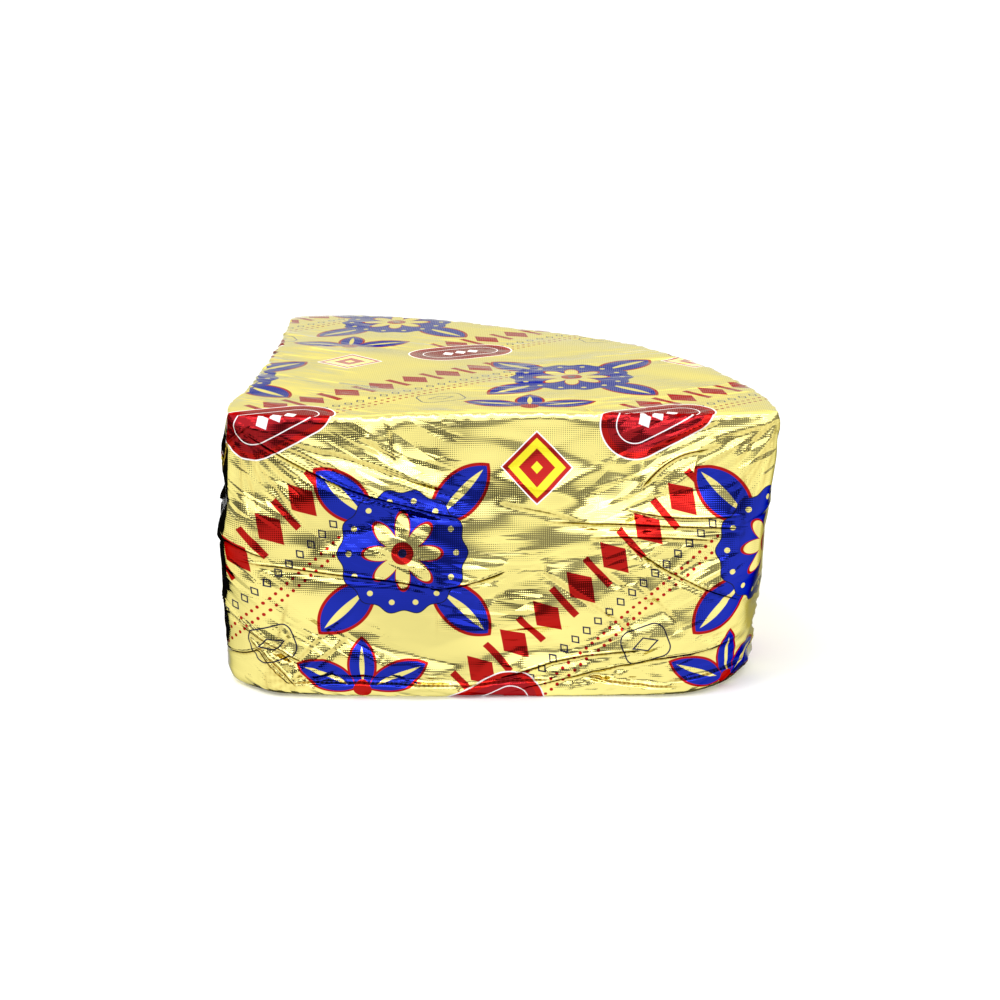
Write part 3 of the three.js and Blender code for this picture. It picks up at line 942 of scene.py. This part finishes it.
def lips(u, v, folds):
    """The slopes along u and v of the folds' sharp lips, and how deep each place lies under one.

    Across a fold its lip's lean follows one turn of a sine, up on its gentle side and down on its
    steep one, and it dies away at the fold's ends.
    """
    slope_u, slope_v, depth = 0.0, 0.0, 0.0
    for start, end, bow, rise, reach, drop in folds:
        run, climb = end[0] - start[0], end[1] - start[1]
        length = math.hypot(run, climb)
        way = math.copysign(1, run)
        turn_u, turn_v = -climb / length * way, run / length * way
        part = reach_along(u, v, start, (run, climb), length**2)
        straight = reach_along(u, v, start, (turn_u, turn_v), LIP_WIDTH)
        middle = part * (1 - part)
        across = middle.plus(-4 * bow * way / LIP_WIDTH, straight)
        wave_across = across.least(math.pi).most(-math.pi).math("SINE")
        lip = wave_across * (middle * LIP_FADE).clamped()
        steep = math.copysign(min(rise, 1) * LIP_LEAN, reach - drop)
        slope_u = lip.plus(-turn_u * steep, slope_u)
        slope_v = lip.plus(-turn_v * steep, slope_v)
        # the depth under a lip also darkens the colour as painted shade
        depth = (lip * math.copysign(1, drop - reach)).most(depth)
    return slope_u, slope_v, depth


def lean_normal(tree, slope_u, slope_v):
    """Which way the surface faces where the foil rises by two slopes along the sheet."""
    def vector(operation, inputs):
        return add_node(tree, "VectorMath", inputs, operation=operation).outputs[0]

    facing = add_node(tree, "NewGeometry").outputs["Normal"]
    along = add_node(tree, "Tangent", direction_type="UV_MAP", uv_map=SHEET_MAP).outputs[0]
    across = vector("CROSS_PRODUCT", {0: facing, 1: along})
    for way, slope in ((along, slope_u), (across, slope_v)):
        facing = vector("SUBTRACT", {0: facing, 1: vector("SCALE", {0: way, "Scale": slope})})
    return vector("NORMALIZE", {0: facing})


def foil_print(tree, u, v, colours):
    """The motifs laid over the whole sheet, row by row."""
    ink = Print(tree, colours)
    for motif, at_u, at_v in PRINT:
        row = (v - at_v).cell(REPEAT_V)
        a = (u - at_u - row * ROW_SHIFT).wrapped(REPEAT_U / 2)
        motif(ink, a, (v - at_v).wrapped(REPEAT_V / 2))
    return ink


def foil_slopes(tree, sheet, u, v, facet_lean):
    """Flat facets in patches, and the folds' sharp lips: two slopes, and the depth under a lip."""
    patches = (bare_noise(tree, sheet, *PATCHES) * PATCH_CONTRAST - PATCH_START).clamped()
    on_top = ((v - HEIGHT) * TOP_FADE).clamped()
    at_foot = ((FOOT_HEIGHT - v.abs()) * FOOT_FADE).clamped() * FOOT_LEAN
    patches = patches.most(at_foot) * on_top.plus(TOP_CALM - 1, 1) * facet_lean
    sharp = [folded for folded in FRONT_FOLDS + SHEET_FOLDS if folded[RISE] >= LIP_LEAST]
    slope_u, slope_v, under_lip = lips(u, v, sharp)
    grain = ((u - GRAIN_LOW) * (2 * math.pi / GRAIN_LENGTH)).math("COSINE").plus(GRAIN_BEND, v)
    for size, slant, lean, share in FACETS:
        facet_u, facet_v = facets(tree, u, grain, size, slant, share)
        slope_u = (facet_u * patches).plus(lean[0], slope_u)
        slope_v = (facet_v * patches).plus(lean[1], slope_v)
    return slope_u, slope_v, under_lip


def foil_emboss(tree, sheet, u, v, sizes):
    """The height of level ribs broken into dots, over the foil's own fine cockle."""
    turns = 2 * math.pi * MM / sizes.emboss_pitch
    dots = (u * turns).math("SINE") * DOT_DEPTH + 1
    height = (v * turns).math("SINE") * dots * sizes.emboss_depth
    return height + bare_noise(tree, sheet, *COCKLE) * sizes.cockle_depth


def foil_material(sizes, colours):
    """Embossed gold foil with a repeating print, its colour and metalness both following the ink.

    Painted shade darkens the folds to a deeper gold, in dashes along the twist.
    """
    material, tree, shader = new_material("printed gold foil", "BsdfPrincipled")
    sheet = add_node(tree, "UVMap", uv_map=SHEET_MAP).outputs[0]
    split = add_node(tree, "SeparateXYZ", {0: sheet})
    u, v = (Field(tree, split.outputs[i]) / MM for i in (0, 1))
    ink = foil_print(tree, u, v, colours)
    slope_u, slope_v, under_lip = foil_slopes(tree, sheet, u, v, sizes.facet_lean)
    height = foil_emboss(tree, sheet, u, v, sizes)
    facing = lean_normal(tree, slope_u, slope_v)
    bump = add_node(tree, "Bump", {"Strength": 1.0, "Distance": 1.0, "Height": height, "Normal": facing})

    # painted shade: the fold attribute and the depth under the lips, in dashes, multiply the colour by the
    # fold colour
    painted_fold_shade = Field(tree, add_node(tree, "Attribute", attribute_name=FOLD_SHADE).outputs["Fac"])
    dashes = (u * (2 * math.pi * MM / sizes.twist_pitch)).math("SINE") * DASH_CHANGE + DASH_MEAN
    depth = (painted_fold_shade * FOLD_SHARE + under_lip).clamped() * dashes
    inputs = {"Factor": depth.clamped(), "A": ink.colour, "B": (*colours.fold, 1)}
    deeper = add_node(tree, "Mix", inputs, data_type="RGBA", blend_type="MULTIPLY")

    feed(shader.inputs["Base Color"], deeper.outputs["Result"])
    feed(shader.inputs["Metallic"], ink.metal)
    feed(shader.inputs["Roughness"], bare_noise(tree, sheet, *ROUGHNESS) * ROUGH_CHANGE + ROUGH_LEAST)
    feed(shader.inputs["Normal"], bump.outputs[0])
    shader.inputs["Specular Tint"].default_value = (*SPECULAR_TINT, 1)
    return material


# --- Stage, in metres ---

ROOM_STEPS, ROOM_RADIUS, ROOM_HEIGHT = 96, 0.42, 0.50
ROOM_FLOOR, ROOM_SWEEP = 1.22, 0.03  # the light at the floor, and how high it dies away
ROOM_PATCHES, PATCH_CHANGE, PATCH_LEAST = (4.0, 1, (1, 1)), 2.2, 0.7
DIM_PATCHES, DIM_BASE, DIM_CLIMB = 0.35, 0.08, 0.5  # the dim band's light
ROOM_BAND, ROOM_PALE = (0.13, 0.18), 1.4  # where the dim band ends, and how much lighter it is above
ROOM_BACK = (0.20, 0.30)  # how far back the room turns white
BACK_LIGHT, BACK_CHANGE, BACK_BAND = 2.26, 0.6, (0.28, 0.36)  # and where it gets lighter upwards
ROOM_TINT, BACK_TINT = (0.95, 0.96, 1.10), (1.0, 0.965, 0.80)
FLOOR_HALF, TABLE_HALF, TABLE_HEIGHT = 3, 0.45, 0.0001
KEY_PLACE, KEY_SIZE = (-0.40, -0.40, 1.0), (0.45, 0.45)
WINDOWS = (("left window", -0.16, 0.17), ("right window", 0.14, 0.20))  # across and up
WINDOW_FRONT, WINDOW_HALF, WINDOW_LIGHT = -0.38, (0.07, 0.025), 4.5
CONTACT_REACH, CONTACT_HEIGHT, CONTACT_LIGHT = 0.5, 0.15, 0.15  # the first two in millimetres
CAMERA_PLACE = (0.01582, -0.64465, 0.2135)
CAMERA_DOWN, CAMERA_LEFT, CAMERA_ROLL = 15.32, 1.29, -0.46  # degrees
MIRROR_BLIND = ("camera", "diffuse", "shadow", "transmission", "volume_scatter")


def stage_mesh(name, places, faces, material):
    """A mesh of the stage."""
    mesh = bpy.data.meshes.new(name)
    mesh.from_pydata(places, [], faces)
    mesh.materials.append(material)
    card = bpy.data.objects.new(name, mesh)
    bpy.context.scene.collection.objects.link(card)
    return card


def mirror_only(card):
    """Lets only reflections see a card."""
    for ray in MIRROR_BLIND:
        setattr(card, f"visible_{ray}", False)


def flat_card(name, centre, right, up, material):
    """A rectangle with its middle, half width vector and half height vector given."""
    centre, right, up = Vector(centre), Vector(right), Vector(up)
    corners = (centre - right - up, centre + right - up, centre + right + up, centre - right + up)
    return stage_mesh(name, [tuple(corner) for corner in corners], [(0, 1, 2, 3)], material)


def glow(name, strength):
    """A plain light panel."""
    return new_material(name, "Emission", {"Strength": strength})[0]


def one_sided_glow(name, strength, colour):
    """A light panel that is clear from behind."""
    material, tree, mix = new_material(name, "MixShader")
    light = add_node(tree, "Emission", {"Color": (*colour, 1), "Strength": strength})
    clear = add_node(tree, "BsdfTransparent")
    behind = add_node(tree, "NewGeometry").outputs["Backfacing"]
    for slot, socket in zip(mix.inputs, (behind, light.outputs[0], clear.outputs[0])):
        feed(slot, socket)
    return material


def patchy_glow(name, scale, mean, change):
    """A light panel with soft patches."""
    material, tree, light = new_material(name, "Emission")
    place = add_node(tree, "TexCoord").outputs["Object"]
    strength = bare_noise(tree, place, scale, 1, (1, 1)).plus(change, mean - change / 2)
    feed(light.inputs["Strength"], strength.most(0.0))
    return material


def room_glow(name):
    """The light of a room: white at the floor, a dim band above it and pale from there up.

    Soft patches make the band uneven, and it is white towards the back.
    """
    material, tree, light = new_material(name, "Emission")
    place = add_node(tree, "TexCoord").outputs["Object"]
    split = add_node(tree, "SeparateXYZ", {0: place})
    y, z = (Field(tree, split.outputs[i]) for i in (1, 2))
    patches = bare_noise(tree, place, *ROOM_PATCHES) * PATCH_CHANGE - PATCH_LEAST
    dim = patches.most(0.0) * DIM_PATCHES + DIM_BASE + z * DIM_CLIMB
    dim = dim + z.between(*ROOM_BAND) * ROOM_PALE
    sweep = ((z - ROOM_SWEEP) / -ROOM_SWEEP).most(0.0)
    back = y.between(*ROOM_BACK)
    tints = {"Factor": sweep.most(back), "A": (*ROOM_TINT, 1), "B": (*BACK_TINT, 1)}
    feed(light.inputs["Color"], add_node(tree, "Mix", tints, data_type="RGBA").outputs["Result"])
    pale = z.between(*BACK_BAND) * BACK_CHANGE + BACK_LIGHT
    front = dim + (ROOM_FLOOR - dim) * sweep
    feed(light.inputs["Strength"], front + (pale - front) * back)
    return material


def room_wall():
    """A tall drum round the table, for the foil to reflect."""
    angle = np.arange(ROOM_STEPS) / ROOM_STEPS * 2 * math.pi
    ring = np.stack([ROOM_RADIUS * np.cos(angle), ROOM_RADIUS * np.sin(angle), 0 * angle], -1)
    places = np.concatenate([ring, ring + (0, 0, ROOM_HEIGHT)])
    faces = ring_quads(2, ROOM_STEPS).tolist()
    return stage_mesh("room wall", places.tolist(), faces, room_glow("room light"))


def contact_shadow():
    """A dark ring on the floor round the pack's foot."""
    z = np.zeros((1, 1))
    x, y, out_x, out_y, _ = outline(z)
    outer, inner = (
        np.stack([(x + out_x * out)[0], (y + out_y * out)[0], z[0] + CONTACT_HEIGHT + 0 * x[0]], -1)
        for out in (CONTACT_REACH, -BASE_EDGE_INSET - BASE_CORNER_INSET)
    )
    places = (np.concatenate([outer, inner]) - (*MIDDLE, 0)) * MM
    faces = ring_quads(2, x.shape[1]).tolist()
    return stage_mesh("contact shadow", places.tolist(), faces, glow("contact shadow", CONTACT_LIGHT))


def reflecting_cards():
    """What the foil reflects besides the room: the table, two windows and panels above and beside it."""
    width, height = WINDOW_HALF
    cards = [
        (name, (x, WINDOW_FRONT, z), (width, 0, 0), (0, 0, height), glow(name, WINDOW_LIGHT))
        for name, x, z in WINDOWS
    ]
    cards += [
        ("table top", (0, 0, TABLE_HEIGHT), (TABLE_HALF, 0, 0), (0, TABLE_HALF, 0),
         patchy_glow("table light", 11, ROOM_FLOOR, 1.2)),
        ("overhead strip", (0, -0.55, 0.90), (0.7, 0, 0), (0, 0.45, 0),
         patchy_glow("strip light", 12, 4.2, 18)),
        ("dark panel", (-0.102, -0.030, 0.034), (0.020, 0, 0), (0, 0, 0.034),
         one_sided_glow("dark panel", 0.005, (1, 1, 1))),
        ("gold panel", (0.0985, -0.030, 0.031), (0.0215, 0, 0), (0, 0, 0.031),
         one_sided_glow("gold panel", 1.0, (1.0, 0.93, 0.52))),
    ]
    return [flat_card(*card) for card in cards]


def floor_material():
    """Plain matt white."""
    inputs = {"Base Color": (0.96, 0.975, 1.0, 1), "Roughness": 0.6}
    return new_material("white floor", "BsdfPrincipled", inputs)[0]


def white_room(strength):
    """An even white world."""
    world = bpy.data.worlds.new("white room")
    world.use_nodes = True
    background = world.node_tree.nodes["Background"]
    background.inputs["Color"].default_value = (1, 1, 1, 1)
    background.inputs["Strength"].default_value = strength
    bpy.context.scene.world = world


def area_light(name, place, aim, size, power):
    """A soft rectangular light."""
    data = bpy.data.lights.new(name, "AREA")
    data.shape = "RECTANGLE"
    data.size, data.size_y = size
    data.energy = power
    light = bpy.data.objects.new(name, data)
    light.location = place
    light.rotation_euler = (Vector(aim) - Vector(place)).to_track_quat("-Z", "Y").to_euler()
    bpy.context.scene.collection.objects.link(light)


def add_camera(lens, sensor):
    """The camera looks down, a little to the left, and is hardly rolled."""
    down, left, roll = (math.radians(a) for a in (CAMERA_DOWN, CAMERA_LEFT, CAMERA_ROLL))
    ahead = Vector((-math.sin(left) * math.cos(down), math.cos(left) * math.cos(down), -math.sin(down)))
    level = Vector((math.cos(left), math.sin(left), 0))
    above = level.cross(ahead)
    right = level * math.cos(roll) + above * math.sin(roll)
    up = above * math.cos(roll) - level * math.sin(roll)
    data = bpy.data.cameras.new("camera")
    data.lens, data.sensor_width, data.sensor_fit = lens, sensor, "HORIZONTAL"
    camera = bpy.data.objects.new("camera", data)
    turn = Matrix((right, up, -ahead)).transposed().to_4x4()
    camera.matrix_world = Matrix.Translation(CAMERA_PLACE) @ turn
    bpy.context.scene.collection.objects.link(camera)
    bpy.context.scene.camera = camera


# --- Add-on ---

def length_property(name, description, default, precision):
    return FloatProperty(
        name=name, description=description, default=default, unit="LENGTH", precision=precision
    )


def colour_property(name, description, default):
    return FloatVectorProperty(
        name=name, description=description, subtype="COLOR", size=3, min=0, max=1, default=default
    )


class WedgeSizes(PropertyGroup):
    """Sizes of the foil's emboss, its fine unevenness and its facets."""

    emboss_pitch: length_property("Emboss pitch", "From one embossed rib to the next", 0.00058, 5)
    emboss_depth: length_property("Emboss depth", "Half the height of an embossed rib", 0.000006, 6)
    # the painted shade in the folds runs in dashes this far apart
    twist_pitch: length_property("Twist pitch", "From one dark dash in a fold to the next", 0.0013, 5)
    cockle_depth: length_property("Cockle depth", "Height of the foil's fine unevenness", 0.00001, 6)
    facet_lean: FloatProperty(
        name="Facet lean", description="How much the foil's small facets lean", default=1.5
    )


class WedgeColours(PropertyGroup):
    """Colours of the foil and its inks."""

    gold: colour_property("Gold", "The bare foil", (0.84, 0.735, 0.242))
    blue: colour_property("Blue", "The print's large fields", (0.014, 0.026, 0.36))
    red: colour_property("Red", "The print's outlines and rows", (0.41, 0.012, 0.009))
    crimson: colour_property("Crimson", "The labels", (0.29, 0.012, 0.015))
    yellow: colour_property("Yellow", "The badges", (0.85, 0.74, 0.025))
    # painted shade: the colour that the print is multiplied by in the folds
    fold: colour_property("Fold", "What the folds leave of a colour", (0.42, 0.27, 0.07))
    navy: colour_property("Navy", "The thin lines", (0.010, 0.010, 0.050))
    white: colour_property("White", "The labels' edges", (0.88, 0.88, 0.90))


class WedgeStage(PropertyGroup):
    """Lens and lights of the studio stage."""

    lens: FloatProperty(name="Lens", description="Focal length in millimetres", default=77.76)
    sensor: FloatProperty(name="Sensor", description="Sensor width in millimetres", default=36.0)
    world: FloatProperty(name="Room light", description="Strength of the white room", default=1.08)
    key_power: FloatProperty(name="Key light", description="Power of the light at front left", default=4.5)


class WEDGE_OT_foil_wrap(Operator):
    """Build the creased foil wrap in the place of the plain solid"""

    bl_idname = "wedge.foil_wrap"
    bl_label = "Foil wrap"

    def execute(self, context):
        settings = context.scene
        wrap = bpy.data.objects.new(PIECE, wrap_mesh())
        wrap.data.materials.append(foil_material(settings.wedge_sizes, settings.wedge_colours))
        context.scene.collection.objects.link(wrap)
        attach(wrap, "root")
        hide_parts(CAD_NODE)
        return {"FINISHED"}


class WEDGE_OT_stage(Operator):
    """Build the floor, the lights, the reflecting cards and the camera"""

    bl_idname = "wedge.stage"
    bl_label = "Studio stage"

    def execute(self, context):
        stage = context.scene.wedge_stage
        context.scene.view_settings.view_transform = "Standard"
        white_room(stage.world)
        flat_card("floor", (0, 0, 0), (FLOOR_HALF, 0, 0), (0, FLOOR_HALF, 0), floor_material())
        area_light("key light", KEY_PLACE, (0, 0, 0), KEY_SIZE, stage.key_power)
        for card in (room_wall(), contact_shadow(), *reflecting_cards()):
            mirror_only(card)
        add_camera(stage.lens, stage.sensor)
        return {"FINISHED"}


class WEDGE_PT_panel(Panel):
    """Lists the pieces and the settings"""

    bl_idname = "WEDGE_PT_panel"
    bl_label = "Cheese Wedge"
    bl_space_type = "VIEW_3D"
    bl_region_type = "UI"
    bl_category = "Cheese Wedge"

    def draw(self, context):
        column = self.layout.column()
        for operator in OPERATORS:
            column.operator(operator.bl_idname)
        for name, _ in SETTINGS:
            group = getattr(context.scene, name)
            for key in group.__annotations__:
                column.prop(group, key)


OPERATORS = (WEDGE_OT_stage, WEDGE_OT_foil_wrap)
SETTINGS = (("wedge_sizes", WedgeSizes), ("wedge_colours", WedgeColours), ("wedge_stage", WedgeStage))
CLASSES = tuple(group for _, group in SETTINGS) + OPERATORS + (WEDGE_PT_panel,)


def register():
    for cls in CLASSES:
        bpy.utils.register_class(cls)
    for name, group in SETTINGS:
        setattr(bpy.types.Scene, name, PointerProperty(type=group))


def unregister():
    for name, _ in SETTINGS:
        delattr(bpy.types.Scene, name)
    for cls in reversed(CLASSES):
        bpy.utils.unregister_class(cls)


def main():
    """Builds everything in order."""
    register()
    bpy.ops.wedge.stage()
    bpy.ops.wedge.foil_wrap()


if __name__ == "__main__":
    main()
